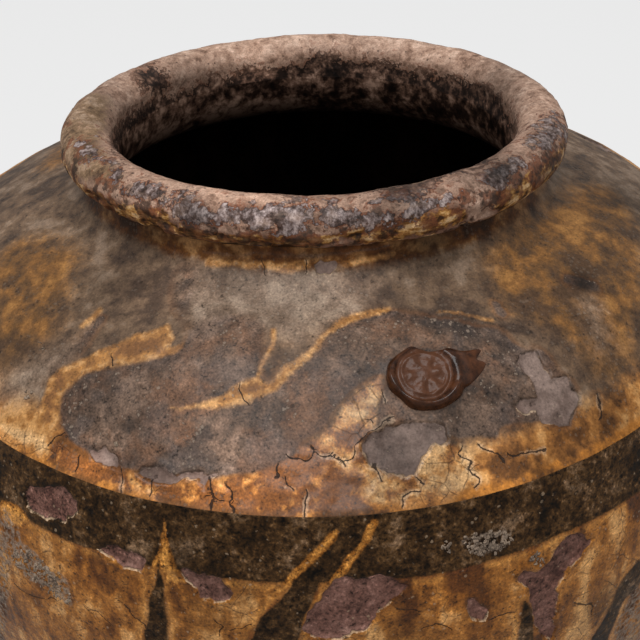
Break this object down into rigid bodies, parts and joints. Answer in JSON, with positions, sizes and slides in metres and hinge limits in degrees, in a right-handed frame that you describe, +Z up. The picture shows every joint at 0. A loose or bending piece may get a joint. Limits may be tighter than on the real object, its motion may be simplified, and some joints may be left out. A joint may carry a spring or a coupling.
{
  "type": "vinegar jar",
  "caption": "Broad-shouldered glazed stoneware storage jar with a rolled rim, short neck, ridged shoulder over a dark band, flaking amber glaze and a wax seal.",
  "frame": {"origin": "middle of the underside of the foot, which is the middle of the bottom of the bounding box", "axes": "+Z up along the jar's axis through the mouth, -Y towards the side with the wax seal, +X to the right as seen from that side"},
  "size_m": [0.2815, 0.2816, 0.2937],
  "materials": {
    "clay": "bare reddish-brown fired stoneware, matt",
    "lip_clay": "worn pinkish lip with dark patches, matt",
    "liner": "near-black glaze, worn",
    "amber_glaze": "amber ash glaze with dark brushwork, worn satin",
    "iron_glaze": "dark iron-brown glaze, worn satin",
    "wax": "dark brown sealing wax, dull gloss"
  },
  "bodies": {
    "root": {"base_disc": "clay", "lower_wall": "clay", "upper_wall": "clay", "shoulder": "clay", "neck_collar": "clay", "rolled_rim": "lip_clay", "liner_glaze": "liner", "shoulder_glaze": "amber_glaze", "band_glaze": "iron_glaze", "wall_glaze": "amber_glaze", "wax_seal": "wax"}
  },
  "joints": []
}
